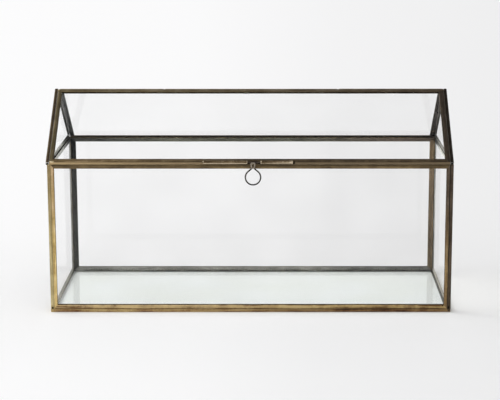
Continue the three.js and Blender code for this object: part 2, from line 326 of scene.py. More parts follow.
def moved_left(line, distance):
    return line[0] + Vector((-line[1].y, line[1].x)) * distance, line[1]


def line_through(a, b):
    return a, (b - a).normalized()


def plan_between(start, end, outer, inner):
    """A length's four corners, where the lines across its ends meet the lines along its edges."""
    return [meet(start, outer), meet(end, outer), meet(end, inner), meet(start, inner)]


def mitred_plans(outline, faces, gap=0.04):
    """Four corners for each side of a framed pane, outer edge first. The mitres leave a hairline gap."""
    count = len(outline)
    sides = [moved_left(line_through(a, outline[(i + 1) % count]), faces[i]) for i, a in enumerate(outline)]
    inner = [meet(sides[i - 1], side) for i, side in enumerate(sides)]
    plans = []
    for i, corner in enumerate(outline):
        j = (i + 1) % count
        outer_line, inner_line = line_through(corner, outline[j]), line_through(inner[i], inner[j])
        start = moved_left(line_through(corner, inner[i]), -gap / 2)
        end = moved_left(line_through(outline[j], inner[j]), gap / 2)
        plans.append(plan_between(start, end, outer_line, inner_line))
    return plans


def rectangle(width, height):
    return [Vector(p) for p in ((-width / 2, 0), (width / 2, 0), (width / 2, height), (-width / 2, height))]


thickness, web, lap = 3.6, 0.6, 0.5
fold_radius, wave_depth, station_gap, fewest_stations = 0.5, 0.3, 0.006, 12
folded_channel = channel_tree()


def channel(pane, side, body, place, plan, finish, own_web=web, cut=None):
    """One length. plan is its four corners in the pane's plane in millimetres, outer edge first."""
    outer_start, outer_end, inner_end, inner_start = plan
    run = (outer_end - outer_start).normalized()
    across = Vector((-run.y, run.x))
    sizes = {"Start Outer": 0.0, "Start Inner": (inner_start - outer_start).dot(run),
             "End Outer": (outer_end - outer_start).length, "End Inner": (inner_end - outer_start).dot(run),
             "Face": (inner_end - outer_end).dot(across), "Web": own_web, "Thickness": thickness, "Lap": lap,
             "Fold": fold_radius, "Wave": wave_depth}
    inputs = {key: size / 1000 for key, size in sizes.items()}
    inputs["Stations"] = max(fewest_stations, int(inputs["End Outer"] / station_gap))
    name = f"{pane}_channel_{side}"
    mesh = grown(name, folded_channel, inputs | {"Seed": next(seeds), "Finish": finish})
    turn = Matrix(((run.x, across.x, 0, outer_start.x / 1000), (run.y, across.y, 0, outer_start.y / 1000),
                   (0, 0, 1, 0), (0, 0, 0, 1)))
    mesh.transform(place @ turn)
    piece(name, cut(mesh) if cut else mesh, body, "brass", f"{pane}_came_{side}")


def channels(pane, body, place, outline, sides, webs=None, cuts=None):
    """The lengths round one pane. sides are (name, width of the face, finish) in the order of the outline."""
    webs, cuts = webs or {}, cuts or {}
    for (side, _, finish), plan in zip(sides, mitred_plans(outline, [face for _, face, _ in sides])):
        channel(pane, side, body, place, plan, finish, webs.get(side, web), cuts.get(side))


# Antique brass: the strip is aged brown and olive and then rubbed, so that the folds and high spots shine
# gold, with painted highlights on the folds as well. Many tones are painted lighter at the left, towards the
# window, and darker towards the right: painted light and shade. The faces that look into the case carry
# painted light and shade of their own, dark in the shade and pale where light reaches them. Streaks run along
# each length.
def wear_and_painted_light_tone(tree, spot, along, rub_and_painted_light, level, painted_light_slope, line):
    """How bright the brass is, from dark to bright: its wear, with the streaks, blotches and grain that make
    it, and the painted light and shade laid over it.
    """
    streaks_in_a_metre, blotch_share, grain_share, rim_and_light_share = (22.0, 640.0, 640.0), 0.45, 0.14, 0.2
    across = part_of(tree, along, 1)
    run = add(tree, "ShaderNodeVectorMath", {0: along, 1: streaks_in_a_metre}, operation="MULTIPLY")
    streak = noise_at(tree, run, 1.0, 3.0, 0.6)
    blotch = noise_at(tree, spot, 60.0, 4.0, 0.62)
    grain = noise_at(tree, spot, 700.0, 2.0)
    tone = between(tree, blotch_share, streak, blotch)
    tone = math_node(tree, "MULTIPLY_ADD", minus(tree, grain, 0.5), grain_share, tone)
    # Lighter tube rims, and the tubes' painted glint with painted shade below it, raise and lower the tone.
    rim_lift_and_painted_light = add(tree, "ShaderNodeAttribute", output="Fac", attribute_name="rim_lift_and_painted_light")
    tone = math_node(tree, "MULTIPLY_ADD", rim_lift_and_painted_light, rim_and_light_share, plus(tree, tone, level))
    # The fold is lifted as rubbed wear with a painted highlight on it; where the lift is below nought it
    # paints shade at the fold.
    fold_start, fold_end, fold_lift = 0.0011, 0.0001, 0.12
    fold_wear_and_painted_light = mapped(tree, across, fold_start, fold_end, 0.0, fold_lift * rub_and_painted_light, interpolation_type="SMOOTHSTEP")
    tone = plus(tree, tone, fold_wear_and_painted_light)
    # A dark line of painted shade along the face, such as the shade of the lid's edge on the rail below it.
    if line:
        shade_line_place, half_width, depth_of_shade = line
        off = math_node(tree, "ABSOLUTE", minus(tree, across, shade_line_place))
        tone = minus(tree, tone, mapped(tree, off, half_width, 0.0, 0.0, depth_of_shade))
    # Painted light across the face: highlight towards the fold and shade towards the free edge, the reverse
    # where the slope is below nought.
    if painted_light_slope:
        middle_of_face = 0.003
        tone = math_node(tree, "MULTIPLY_ADD", minus(tree, across, middle_of_face), -painted_light_slope, tone)
    return tone, streak, blotch, grain


def inner_shade(tree, spot, tone, inner, inner_axis, high):
    """Painted light and shade on the faces that look into the case, in three colours along one axis. high is
    their level at the top; below one, the tops are painted darker.
    """
    half_length, half_depth, low_end, high_end = 0.23, 0.09, 0.03, 0.15
    reach = half_depth if inner_axis else half_length
    place = mapped(tree, part_of(tree, spot, inner_axis), -reach, reach)
    shade = ramp(tree, place, zip((0.12, 0.28, 0.62, 0.86), (inner[0], inner[1], inner[1], inner[2])))
    dim = mapped(tree, tone, 0.38, 0.6, 0.55, 1.35)
    # Painted shade: where high is below one, the faces are darker towards the top.
    if high != 1.0:
        dim = times(tree, dim, mapped(tree, part_of(tree, spot, 2), low_end, high_end, 1.0, high))
    return add(tree, "ShaderNodeVectorMath", {0: shade, "Scale": dim}, operation="SCALE")


def brass(name, near, far=None, span=(0, -0.15, 0.1), inner=("3e3e3a", "5f5f53", "5a5045"), high=1.0,
          painted_light_slope=0.0, rub_and_painted_light=0.5, level=0.0, metal=0.85, rough=0.4, inner_metal=None, inner_axis=0, line=None):
    """near and far are four tones each, from dark to bright, and span says along which axis one turns into
    the other;
    where far is darker towards the right, that is painted shade, the fading of the window's light. The fold
    is lifted as rubbed wear with a painted highlight on it, and painted darker where that lift is below
    nought. A slope across the face paints highlight towards the fold and shade towards the free edge, and the
    reverse when it is below nought. line is the distance of a dark line of painted shade from the fold, its
    half width and its depth of tone."""
    lap_start, lap_full, web_start, web_full = 0.0032, 0.0034, 0.00035, 0.0001
    finish, tree = new_material(name)
    spot = add(tree, "ShaderNodeTexCoord", output="Object")
    along = add(tree, "ShaderNodeAttribute", output="Vector", attribute_name="along")
    tone, streak, blotch, grain = wear_and_painted_light_tone(tree, spot, along, rub_and_painted_light, level, painted_light_slope, line)
    places = (0.4, 0.47, 0.54, 0.62)
    patina = ramp(tree, tone, zip(places, near))
    if far:
        axis, low_end, high_end = span
        drift = min(0.12, 1.2 * (high_end - low_end))
        wander = math_node(tree, "MULTIPLY_ADD", minus(tree, blotch, 0.5), drift, part_of(tree, spot, axis))
        far_patina = ramp(tree, tone, zip(places, far))
        patina = blend(tree, mapped(tree, wander, low_end, high_end), patina, far_patina)
    outer_lap = mapped(tree, part_of(tree, along, 2), lap_start, lap_full)
    web_face = mapped(tree, part_of(tree, along, 1), web_start, web_full)
    inside = minus(tree, 1.0, math_node(tree, "MAXIMUM", outer_lap, web_face))
    shade = inner_shade(tree, spot, tone, inner, inner_axis, high)
    gloss = mapped(tree, tone, 0.35, 0.65, rough + 0.14, rough - 0.08)
    inner_gloss = 0.27 if inner_metal is None else 0.7
    relief = plus(tree, times(tree, grain, 0.35), streak)
    feed(tree, tree.nodes["Principled BSDF"].inputs, {
        "Base Color": blend(tree, inside, patina, shade),
        "Metallic": metal if inner_metal is None else between(tree, inside, metal, inner_metal),
        "Roughness": between(tree, inside, gloss, inner_gloss),
        "Normal": add(tree, "ShaderNodeBump", {"Strength": 0.22, "Distance": 0.0002, "Height": relief})})
    return finish


# Clear float glass, 2 mm thick with polished faces and hardly any tint. It stands in the channel's groove
# with a film of putty either side.
def glass(name, tint, through, mirror, bends=False):
    """mirror is the strength of the reflections against real glass. Glass that bends light is refractive."""
    finish, tree = new_material(name)
    tree.nodes.remove(tree.nodes["Principled BSDF"])
    ream = noise_at(tree, add(tree, "ShaderNodeTexCoord", output="Object"), 14.0, 1.0)
    body = ramp(tree, ream, [(0.3, tint[0]), (0.7, tint[1])])
    bump = add(tree, "ShaderNodeBump", {"Strength": 0.02, "Distance": 0.0005, "Height": ream})
    if bends:
        share, window_glass = mirror, {"Color": body, "Roughness": 0.0, "IOR": 1.5}
        plain = add(tree, "ShaderNodeBsdfRefraction", window_glass)
        shine = add(tree, "ShaderNodeBsdfGlass", window_glass | {"Normal": bump})
    else:
        straight_on = 0.04
        facing = add(tree, "ShaderNodeLayerWeight", {"Blend": 0.5, "Normal": bump}, output="Facing")
        share = math_node(tree, "MULTIPLY_ADD", math_node(tree, "POWER", facing, 5.0),
                          (1 - straight_on) * mirror, straight_on * mirror)
        plain = add(tree, "ShaderNodeBsdfTransparent", {"Color": body})
        shine = add(tree, "ShaderNodeBsdfAnisotropic",
                    {"Color": colour("ffffff"), "Roughness": 0.0, "Normal": bump})
    pane = add(tree, "ShaderNodeMixShader", {0: share, 1: plain, 2: shine})
    clear = add(tree, "ShaderNodeBsdfTransparent", {"Color": colour(through)})
    lamp = add(tree, "ShaderNodeLightPath", output="Is Shadow Ray")
    feed(tree, tree.nodes["Material Output"].inputs,
         {"Surface": add(tree, "ShaderNodeMixShader", {0: lamp, 1: pane, 2: clear})})
    return finish


def glaze(finish, *nodes):
    for node in nodes:
        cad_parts[node].data.materials.clear()
        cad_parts[node].data.materials.append(finish)


# The floor: one pane of glass lying flat in four lengths of brass channel. Everything else stands on its
# channel, so its corners carry the corners of the case.
def middle_of(node):
    return sum(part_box(node), Vector()) / 2


length, depth, seam_gap = 450.0, 181.0, 0.3
lap_face, floor_left_face, floor_back_face = 5.2, 4.5, 2.0
aged = ("4d4226", "7a6a40", "95834f", "b49c66")
# Painted shade: the floor's front length is darker towards the right, away from the window, and the faces of
# its other lengths that look into the case are painted pale at the left and dark at the right.
floor_front_brass = brass("floor_front_brass", ("6d4c2c", "8d6f4c", "a58e60", "b8a070"),
                          ("3f2a1a", "573e28", "785c3a", "8a7350"), span=(0, -0.06, 0.06), level=-0.02)
floor_brass = brass("floor_brass", aged, inner=("d4d4cc", "8a887e", "5c5b56"))
floor_glass = glass("floor_glass", ("fdfefd", "feffff"), "f7f9f7", mirror=0.4, bends=True)
middle = middle_of("floor_glass").y
floor_edge = Matrix.Translation((0, middle - depth / 2000, thickness / 1000))
floor_place = floor_edge @ Matrix.Rotation(math.pi, 4, "Y")
channels("floor", "case", floor_place, rectangle(length, depth), [
    ("front", lap_face, floor_front_brass), ("left", floor_left_face, floor_brass),
    ("back", floor_back_face, floor_brass), ("right", lap_face, floor_brass)])
glaze(floor_glass, "floor_glass")

# The walls: four framed panes. The end walls stand on the floor's channel at its full depth, the front and
# back walls stand between them, and all are soldered edge to edge.
wall_height, wall_base = 168.8, thickness + seam_gap
quarter, right_outset = math.pi / 2, 0.3
front_bottom_face, front_top_face, front_side_face = 4.8, 4.4, 3.6
back_bottom_face, back_top_face, back_left_face, back_right_face = 4.3, 4.7, 6.3, 5.7
end_bottom_face, end_back_face, end_back_web = 2.2, 1.1, 0.85


def upright(turn, distance, base):
    """Where a pane's own x and y lie when it stands at this distance from the middle, facing outwards."""
    stood = (Matrix.Translation((0, (thickness - distance) / 1000, base / 1000))
             @ Matrix.Rotation(quarter, 4, "X"))
    return Matrix.Translation((0, middle, 0)) @ Matrix.Rotation(turn, 4, "Z") @ stood


front_place, back_place = upright(0, depth / 2, wall_base), upright(math.pi, depth / 2, wall_base)
left_place = upright(-quarter, length / 2, wall_base)
right_place = upright(quarter, length / 2 + right_outset, wall_base)
# Painted shade: the front bottom rail is darker towards the right, away from the window, and a dark line of
# painted shade runs along its top edge; it is also darker at its fold.
rail_brass = brass("rail_brass", ("6a4c2e", "a38c66", "b89f72", "cbb282"),
                   ("60462a", "937b55", "a88f5e", "bda779"), span=(0, -0.04, 0.06), level=0.035, rub_and_painted_light=-1.2,
                   line=(0.0048, 0.001, 0.13))
# Painted shade: a dark line just below the top edge of the front wall's top rail, the shade of the lid's edge
# above it.
under_eave_brass = brass("under_eave_brass", ("4a3e2c", "5f5038", "6d5c42", "7c6a4a"), rub_and_painted_light=0.0,
                         line=(0.0013, 0.0008, 0.16))
# Painted light and shade: the front left post and the left wall's front edge are lit copies of the finish,
# and the front right post and the right wall's front edge are shaded ones, lighter at the left towards the
# window. The posts and the left edge are also darker towards the top.
post_brass = brass("post_brass", ("9c8450", "c4aa6e", "d2b87e", "e6d29a"),
                   ("7a6444", "9c8159", "ab926c", "c4a984"), span=(2, 0.07, 0.15))
right_post_brass = brass("right_post_brass", ("6c573b", "846c4c", "967d57", "b0986a"),
                         ("3f352a", "4e4235", "5c5044", "6d6052"), span=(2, 0.05, 0.12))
left_edge_brass = brass("left_edge_brass", ("83754e", "a3946a", "b0a276", "c4b486"),
                        ("665a3f", "7f6f4c", "907e58", "a08c66"), span=(2, 0.07, 0.15))
right_edge_brass = brass("right_edge_brass", ("2c241c", "3a3027", "453b30", "54483b"))
# Painted light and shade on the faces that look into the case: the feet and back edges of the end walls are
# painted pale where light reaches them, the tops of the end walls run from pale at the front to dark at the
# back corner, the back bottom rail is darker towards the right and towards the floor, and the back left post
# is darker towards the top.
end_foot_brass = brass("end_foot_brass", aged, inner=("b8b8b0", "b8b8b0", "b4b0a6"), inner_metal=0.3)
end_back_brass = brass("end_back_brass", aged, inner=("dcdcd6",) * 3, inner_metal=0.0)
end_brass = brass("end_brass", aged, inner=("d2d2ca", "d2d2ca", "30302c"), inner_metal=0.2, inner_axis=1)
back_rail_brass = brass("back_rail_brass", aged, inner=("92918a", "8e8c84", "6c6b66"), painted_light_slope=-30.0)
back_top_brass = brass("back_top_brass", aged, inner=("44443f", "5c5c50", "5c5248"))
back_left_brass = brass("back_left_brass", aged, inner=("353531",) * 3, high=0.35)
back_right_brass = brass("back_right_brass", aged, inner=("74634c",) * 3)
left_corner_brass = brass("left_corner_brass", ("2a261e", "38342a", "464238", "565248"),
                          inner=("dcdcd6",) * 3, inner_metal=0.0)
wall_glass = glass("wall_glass", ("fcfcfc", "fefefe"), "fefefd", mirror=0.35)
end_glass = glass("end_glass", ("fefefe", "ffffff"), "f8f8f7", mirror=0.12, bends=True)
long_wall = rectangle(length - 2 * wall_base, wall_height - wall_base)
end_wall = rectangle(depth, wall_height - wall_base)
channels("front", "case", front_place, long_wall, [
    ("bottom", front_bottom_face, rail_brass), ("right", front_side_face, right_post_brass),
    ("top", front_top_face, under_eave_brass), ("left", front_side_face, post_brass)])
channels("right", "case", right_place, end_wall, [
    ("bottom", end_bottom_face, end_foot_brass), ("back", end_back_face, end_back_brass),
    ("top", lap_face, end_brass), ("front", lap_face, right_edge_brass)], {"back": end_back_web})
channels("back", "case", back_place, long_wall, [
    ("bottom", back_bottom_face, back_rail_brass), ("left", back_left_face, back_left_brass),
    ("top", back_top_face, back_top_brass), ("right", back_right_face, back_right_brass)])
channels("left", "case", left_place, end_wall, [
    ("bottom", end_bottom_face, end_foot_brass), ("front", lap_face, left_edge_brass),
    ("top", lap_face, end_brass), ("back", end_back_face, left_corner_brass)], {"back": end_back_web})
glaze(wall_glass, "front_glass", "back_glass")
glaze(end_glass, "left_glass", "right_glass")

# The gables: a triangular pane with its tips cut square to the slope, in three lengths of channel, stands on
# each end wall.
pitch = math.radians(36.7)
along_slope, rise = math.cos(pitch), math.sin(pitch)
eave_height, edge_to_axis, ridge_gap = 169.4, 1.9, 0.6
gable_foot_face, slope_face, gable_cut_gap, gable_overhang = 3.2, 3.7, 0.3, 1.0
hinge_height = (eave_height + (depth - ridge_gap) / 2 * math.tan(pitch)
                + (edge_to_axis - ridge_gap / 2 * along_slope) / rise)
wall_corner = Vector((-depth / 2 * along_slope + (eave_height - hinge_height) * rise,
                      (eave_height - hinge_height) * along_slope + depth / 2 * rise))
inner_level, outer_level = wall_corner.y, wall_corner.y + thickness


def gable_plans():
    """Plans of the foot, the slope at the right and the slope at the left, seen from outside."""
    apex = Vector((0, hinge_height + outer_level / along_slope - wall_height - seam_gap))
    foot = Vector((depth / 2, 0))
    slope = line_through(apex, apex + Vector((along_slope, -rise)))
    tip = meet((foot, Vector((rise, along_slope))), slope)
    left_foot, left_tip = Vector((-foot.x, 0)), Vector((-tip.x, tip.y))
    base = line_through(left_foot, foot)
    base_top = moved_left(base, gable_foot_face)
    outer = [line_through(tip, apex), line_through(apex, left_tip)]
    inner = [moved_left(line, slope_face) for line in outer]
    cuts = [moved_left(line, gable_cut_gap) for line in inner]
    ends = [line_through(foot, tip), line_through(left_tip, left_foot)]
    ridges = [moved_left((apex, Vector((0, 1))), side * gable_cut_gap / 2) for side in (-1, 1)]
    return [plan_between(cuts[1], cuts[0], base, base_top),
            plan_between(ends[0], ridges[0], outer[0], inner[0]),
            plan_between(ridges[1], ends[1], outer[1], inner[1])]


# Painted light and shade: the right gable is a shaded copy of the left one and its fold is painted darker; on
# both, the faces that look into the case are pale at the front and dark at the back corner.
left_gable_brass = brass("left_gable_brass", ("2c241a", "3c3023", "483b2a", "584a36"),
                         inner=("e6e6de", "e6e6de", "3c3c37"), inner_metal=0.2, inner_axis=1)
right_gable_brass = brass("right_gable_brass", ("241d18", "302923", "39322b", "463e35"),
                          inner=("9a9890", "9a9890", "4c4a44"), inner_metal=0.2, inner_axis=1, rub_and_painted_light=-0.6)
for pane, turn, overhang, sides, finish in (
        ("left_gable", -quarter, gable_overhang, ("bottom", "front", "back"), left_gable_brass),
        ("right_gable", quarter, 0.0, ("bottom", "back", "front"), right_gable_brass)):
    place = upright(turn, length / 2 + overhang, wall_height + seam_gap)
    for side, plan in zip(sides, gable_plans()):
        channel(pane, side, "case", place, plan, finish)
glaze(end_glass, "left_gable_glass", "right_gable_glass")


# The back slope of the roof: a pane in four lengths of channel. It is soldered between the gables and to the
# back wall, and doesn't open.
def slope_place(overhang, turn):
    lain = Matrix.Translation((0, (wall_corner.x - overhang) / 1000, inner_level / 1000))
    tilted = Matrix.Translation((0, 0, hinge_height / 1000)) @ Matrix.Rotation(pitch, 4, "X")
    return Matrix.Translation((0, middle, 0)) @ Matrix.Rotation(turn, 4, "Z") @ tilted @ lain


back_overhang, back_eave_face, ridge_face = 2.0, 1.6, 2.6
roof_left_face, roof_right_face = 4.6, 5.7
roof_tones = ("4d4226", "6a5c3c", "7d6d48", "927f58")
back_roof_brass = brass("back_roof_brass", roof_tones, inner=("50504e", "5c5c50", "463f38"))
# Painted light: the faces of the back slope's eave and ridge lengths that look into the case are pale, where
# light reaches them.
back_eave_brass = brass("back_eave_brass", roof_tones, inner=("b0b0a6", "b4b09c", "94887a"))
roof_glass = glass("roof_glass", ("fefefe", "ffffff"), "fefefd", mirror=0.4, bends=True)
back_slope = rectangle(length - 2 * wall_base, -edge_to_axis - wall_corner.x + back_overhang)
back_slope_place = slope_place(back_overhang, math.pi)
channels("back_roof", "case", back_slope_place, back_slope, [
    ("eave", back_eave_face, back_eave_brass), ("left", roof_left_face, back_roof_brass),
    ("ridge", ridge_face, back_eave_brass), ("right", roof_right_face, back_roof_brass)])
glaze(roof_glass, "back_roof_glass")

# The lid: the front slope, a framed pane hung from the ridge. Its eave length is deeper, and has a trough in
# its lower outer corner for the pull.
lid_overhang, lid_side_gap, lid_eave_web = 1.0, 0.35, 3.4
lid_eave_face, lid_left_face, lid_right_face = 6.0, 4.45, 5.3
lid_slope = [corner - Vector((gable_overhang, 0)) if corner.x < 0 else corner
             for corner in rectangle(length - 2 * (thickness + lid_side_gap),
                                     -edge_to_axis - wall_corner.x + lid_overhang)]
lid_place = slope_place(lid_overhang, 0)
pull_inset, pull_depth, trough_radius, trough_sides = 0.7, 0.2, 2.3, 48
trough_left, trough_right = -52.5, 49.3


def trough_cutter():
    turns = [2 * math.pi * k / trough_sides for k in range(trough_sides)]
    points = [(x / 1000, (pull_inset + trough_radius * math.cos(a)) / 1000,
               (thickness - pull_depth + trough_radius * math.sin(a)) / 1000)
              for x in (trough_left, trough_right) for a in turns]
    faces = [(k, (k + 1) % trough_sides, trough_sides + (k + 1) % trough_sides, trough_sides + k)
             for k in range(trough_sides)]
    faces += [tuple(reversed(range(trough_sides))), tuple(range(trough_sides, 2 * trough_sides))]
    mesh = bpy.data.meshes.new("trough")
    mesh.from_pydata(points, [], faces)
    mesh.transform(lid_place)
    return in_scene("trough", mesh)


def with_trough(mesh):
    """The eave length with the trough cut out. What faces outwards shows the streaks of its outer lap."""
    cutter, holder = trough_cutter(), in_scene("eave", mesh)
    cut = holder.modifiers.new("cut", "BOOLEAN")
    cut.object, cut.operation, cut.solver = cutter, "DIFFERENCE", "EXACT"
    result = made_plain(holder)
    bpy.data.objects.remove(cutter)
    if "along" in result.attributes:
        result.attributes.remove(result.attributes["along"])
    streaks = result.attributes.new("along", "FLOAT_VECTOR", "POINT")
    back, inner_lap_top, web_end = lid_place.inverted(), 0.0008, 0.0032
    for spot, mark in zip(result.vertices, streaks.data):
        at = back @ spot.co
        mark.vector = (at.x, at.y, thickness / 1000) if inner_lap_top < at.z and at.y < web_end else at
    result.set_sharp_from_angle(angle=crease)
    return result


# Painted light and shade: the eave is darker towards the right, a painted highlight lies on its fold and is
# pushed towards it by the slope across the face, and a dark line of painted shade runs close to the fold. The
# lid's left length is a lit copy of the finish and its right length a shaded one, and its ridge is darker
# towards the right.
eave_brass = brass("eave_brass", ("54462f", "746143", "86714f", "b49c74"),
                   ("3f3528", "4d4030", "5c4e3a", "75664f"), span=(0, -0.22, 0.0), level=0.02, painted_light_slope=20.0,
                   rub_and_painted_light=2.0, line=(0.0009, 0.0008, 0.26))
lid_left_brass = brass("lid_left_brass", ("4a4028", "574d38", "62573f", "776850"))
lid_right_brass = brass("lid_right_brass", ("352e26", "443b31", "50453a", "5c5246"))
lid_ridge_brass = brass("lid_ridge_brass", ("60533a", "6f6247", "796c50", "87795e"),
                        ("43392c", "524737", "5d5141", "6a6050"), span=(0, -0.18, 0.16))
channels("lid", "lid", lid_place, lid_slope, [
    ("eave", lid_eave_face, eave_brass), ("right", lid_right_face, lid_right_brass),
    ("ridge", ridge_face, lid_ridge_brass), ("left", lid_left_face, lid_left_brass)],
    {"eave": lid_eave_web}, {"eave": with_trough})
glaze(roof_glass, "lid_glass")


# The hinge: two tubes soldered to the back slope and one to the lid, nested between the slopes' upper edges,
# on one wire pin. Each tube is rolled from strip, so that it has a seam along it.
def tube_tree():
    """A grid rolled round x. One half of it is the outside, and the other half goes back through the bore."""
    tree, given = new_tree("rolled_tube",
                           ["Length", "Outer Radius", "Bore Radius", "Edge Round", "Seam Depth", "Seam Turn",
                            "Rim Lift", "Painted Glint", "Glint Turn"],
                           ["Stations", "Sides", "Seed"])
    groove_turn, below_turn, shade_below_share, turn_step = 0.16, 0.62, 0.7, 0.002
    grid = add(tree, "GeometryNodeMeshGrid", {
        "Size X": 1.0, "Size Y": 1.0, "Vertices X": plus(tree, times(tree, given["Stations"], 2.0), 1.0),
        "Vertices Y": plus(tree, given["Sides"], 1.0)})
    spot = add(tree, "GeometryNodeInputPosition")
    way = times(tree, plus(tree, part_of(tree, spot, 0), 0.5), 2.0)
    inside = math_node(tree, "GREATER_THAN", way, 1.0)
    share = between(tree, inside, way, minus(tree, 2.0, way))
    half = times(tree, given["Length"], 0.5)
    run = times(tree, minus(tree, times(tree, share, 2.0), 1.0), half)
    to_end = minus(tree, half, math_node(tree, "ABSOLUTE", run))
    near_end = mapped(tree, to_end, 0.0, given["Edge Round"], 1.0, 0.0)
    drop = times(tree, math_node(tree, "POWER", near_end, 2.0), given["Edge Round"])
    radius = between(tree, inside, given["Outer Radius"], given["Bore Radius"])
    radius = math_node(tree, "MULTIPLY_ADD", drop, between(tree, inside, -1.0, 1.0), radius)
    turn = times(tree, plus(tree, part_of(tree, spot, 1), 0.5), 2 * math.pi)
    off_seam = math_node(tree, "PINGPONG", minus(tree, turn, given["Seam Turn"]), math.pi)
    groove = mapped(tree, off_seam, 0.0, groove_turn, given["Seam Depth"], 0.0)
    radius = minus(tree, radius, times(tree, groove, minus(tree, 1.0, inside)))
    y, z = (times(tree, radius, math_node(tree, share, turn)) for share in ("COSINE", "SINE"))
    rim = mapped(tree, to_end, 0.0009, 0.0003, 0.0, given["Rim Lift"])
    # A painted glint runs along the tube at a fixed turn, where a highlight shines, with painted shade just
    # below it.
    past_line = minus(tree, turn, given["Glint Turn"])
    off_line = math_node(tree, "PINGPONG", past_line, math.pi)
    rubbed = mapped(tree, off_line, 0.3, 0.12, 0.0, given["Painted Glint"])
    below_line = math_node(tree, "ABSOLUTE", minus(tree, past_line, below_turn))
    painted_shade_below = mapped(tree, below_line, 0.4, 0.2, 0.0, given["Painted Glint"])
    rim_lift_and_painted_light = plus(tree, rim, minus(tree, rubbed, times(tree, painted_shade_below, shade_below_share)))
    far = math_node(tree, "MULTIPLY_ADD", given["Seed"], seed_step, run)
    rolled = marked(tree, grid, "rim_lift_and_painted_light", rim_lift_and_painted_light, "FLOAT")
    rolled = marked(tree, rolled, "along", point(tree, far, times(tree, turn, turn_step), 0.01))
    rolled = placed(tree, rolled, point(tree, run, y, z))
    closed = add(tree, "GeometryNodeMergeByDistance", {"Geometry": rolled, "Distance": 1e-6})
    return end_tree(tree, closed, given["Finish"])


rolled_tube = tube_tree()
edge_round, seam_depth, tube_sides = 0.00025, 0.00012, 48


def tube(name, node, body, centre, span, outer, bore, finish, seam_turn, stations, rim_lift_and_painted_light=(0.0, 0.0, 0.0)):
    """span, outer and bore are in millimetres. The last argument lightens the rims, sets a painted glint
    along the tube and gives the turn at which that glint lies; painted shade lies just below the glint.
    """
    low, high = (end / 1000 for end in span)
    mesh = grown(name, rolled_tube, {
        "Length": high - low, "Outer Radius": outer / 2000, "Bore Radius": bore / 2000,
        "Edge Round": edge_round, "Seam Depth": seam_depth, "Seam Turn": seam_turn, "Stations": stations,
        "Sides": tube_sides, "Rim Lift": rim_lift_and_painted_light[0], "Painted Glint": rim_lift_and_painted_light[1], "Glint Turn": rim_lift_and_painted_light[2],
        "Seed": next(seeds), "Finish": finish})
    mesh.transform(Matrix.Translation(((low + high) / 2, centre.y, centre.z)))
    piece(name, mesh, body, "brass", node)


axis = middle_of("hinge_pin")
hinge_end, inner_end, middle_end, right_lift, right_extra = 219.8, 100.4, 100.0, 0.1, 1.2
hinge_outer, right_outer, hinge_bore, hinge_seam_turn = 3.2, 3.4, 1.8, 4.4
# Painted shade: the hinge tubes are darker towards the right, away from the window.
ridge_brass = brass("ridge_brass", ("5f523c", "6f624a", "7b6e55", "8e816a"),
                    ("4a4033", "594d3e", "65594a", "776d5c"), span=(0, -0.18, 0.16))
tube("hinge_left", "hinge_tube_left", "case", axis, (-hinge_end - gable_overhang, -inner_end), hinge_outer,
     hinge_bore, ridge_brass, hinge_seam_turn, stations=60)
tube("hinge_middle", "hinge_tube_lid", "lid", axis, (-middle_end, middle_end), hinge_outer, hinge_bore,
     ridge_brass, hinge_seam_turn, stations=90)
tube("hinge_right", "hinge_tube_right", "case", axis + Vector((0, 0, right_lift / 1000)),
     (inner_end, hinge_end + right_extra), right_outer, hinge_bore, ridge_brass, hinge_seam_turn, stations=60)
wire = brass("dark_wire", ("0e0d0a", "181612", "24211b", "3a362d"), ("6a6254", "7e7464", "90867a", "a09686"),
             span=(2, 0.1645, 0.1675), metal=0.2, rough=0.6)
glaze(wire, "hinge_pin")

# The pull: a left tube and a right sleeve soldered in the lid's trough, a rod that turns in them, and the
# loop of wire on the rod.
pull_axis = middle_of("pull_rod")
pull_outer, pull_bore, pull_seam_turn = 4, 2.2, 1.0
pull_tube_span, sleeve_span = (-52.2, -3.2), (11.7, 47.1)
pull_brass = brass("pull_brass", ("40331f", "5f4f3a", "78664c", "c2b298"))
# Painted shade: the rod is a darker copy of the pull's brass, for the shade in the gap between the tubes.
shaded_rod_brass = brass("shaded_rod_brass", ("1c150c", "2a2014", "382c1c", "4a3c28"), metal=0.3, rough=0.6)
tube("pull_left", "pull_tube", "lid", pull_axis, pull_tube_span, pull_outer, pull_bore, pull_brass,
     pull_seam_turn, stations=120, rim_lift_and_painted_light=(0.8, 1.4, 3.55))
tube("pull_right", "pull_sleeve", "lid", pull_axis, sleeve_span, pull_outer, pull_bore, pull_brass,
     pull_seam_turn, stations=100, rim_lift_and_painted_light=(1.5, 0.6, 3.5))
glaze(shaded_rod_brass, "pull_rod")


def wire_tree():
    tree, given = new_tree("bent_wire", ["Radius", "Spacing"])
    path = add(tree, "GeometryNodeMeshToCurve", {0: given["Geometry"]})
    path = add(tree, "GeometryNodeResampleCurve", {"Curve": path, "Length": given["Spacing"]}, mode="LENGTH")
    ring = add(tree, "GeometryNodeCurvePrimitiveCircle", {"Resolution": 20, "Radius": given["Radius"]})
    bent = add(tree, "GeometryNodeCurveToMesh", {"Curve": path, "Profile Curve": ring})
    return end_tree(tree, bent, given["Finish"])


def bend(start, corner, end, steps=8):
    shares = [k / steps for k in range(steps + 1)]
    return [start * (1 - t) ** 2 + corner * 2 * t * (1 - t) + end * t * t for t in shares]


